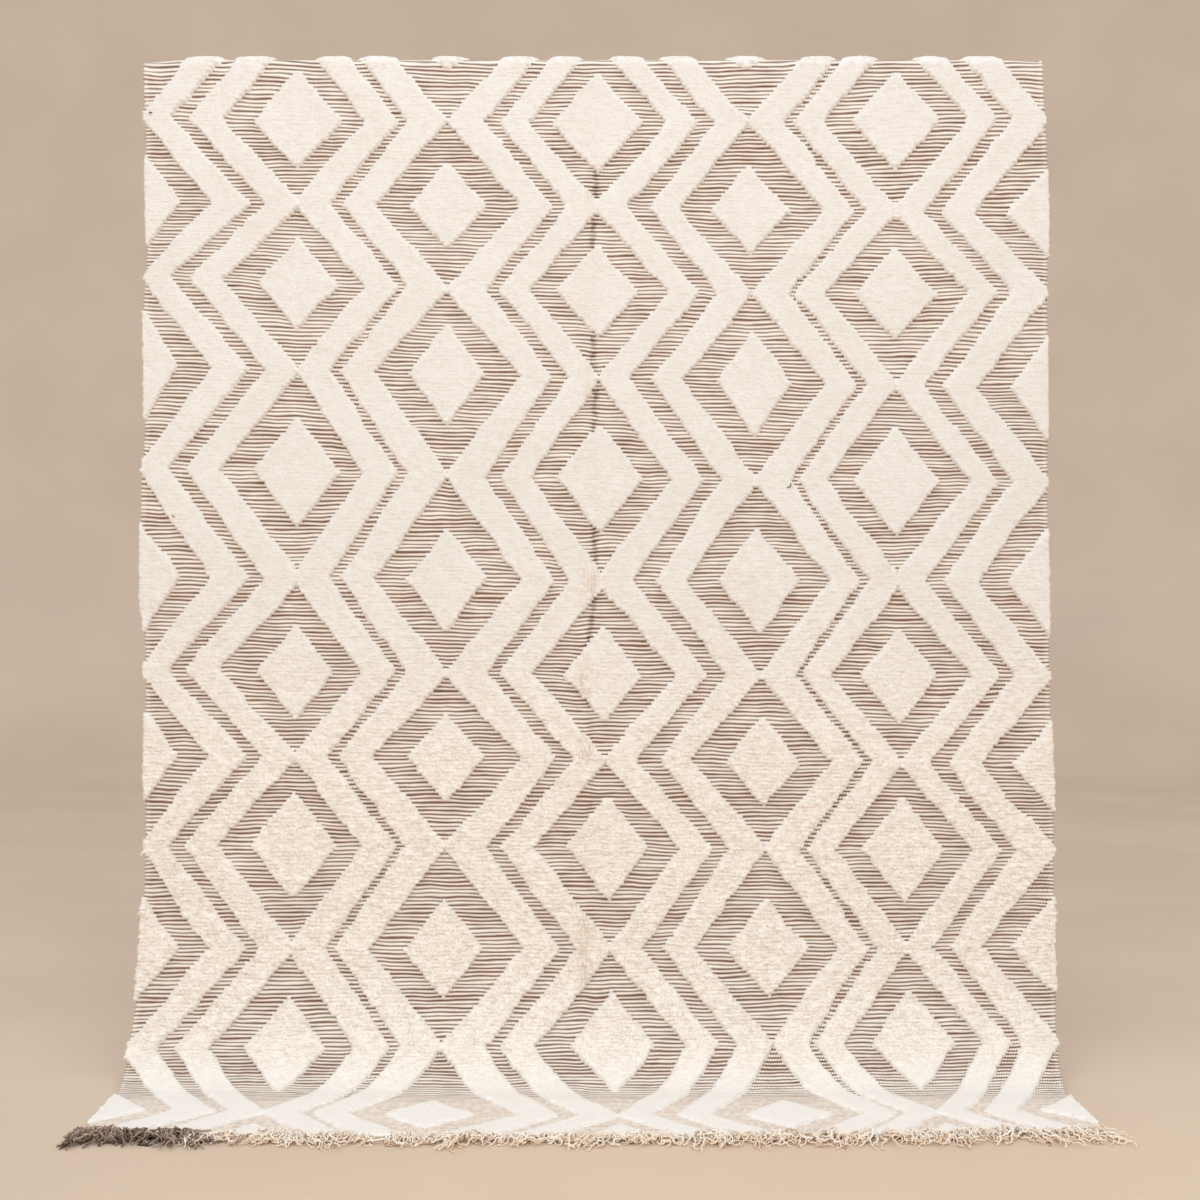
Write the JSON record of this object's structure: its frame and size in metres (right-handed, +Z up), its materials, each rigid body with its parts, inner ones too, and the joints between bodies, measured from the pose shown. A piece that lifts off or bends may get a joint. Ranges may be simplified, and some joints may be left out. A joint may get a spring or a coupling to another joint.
{
  "type": "berber kilim rug",
  "caption": "Hand-woven wool rug with raised cream pile lozenges on a striped flat-woven ground, hung over a hidden bar with its fringed foot swept forward on the floor.",
  "frame": {"origin": "on the floor under the middle of the hung rug's box", "axes": "+Z up, +X to the right seen from the pile side, the pile side faces -Y and the foot sweeps towards -Y"},
  "size_m": [2.031, 0.5922, 2.261],
  "materials": {
    "rug_wool": "cut wool pile raised in lozenges and zigzag bands over a brown and cream striped weft-faced ground",
    "grey_yarn": "loose hand-spun warp ends, dark grey-brown wool, curled and tangled",
    "cream_yarn": "loose hand-spun warp ends, cream wool, curled and tangled"
  },
  "bodies": {
    "root": {"rug": "rug_wool", "fringe_grey": "grey_yarn", "fringe_cream": "cream_yarn"}
  },
  "joints": []
}
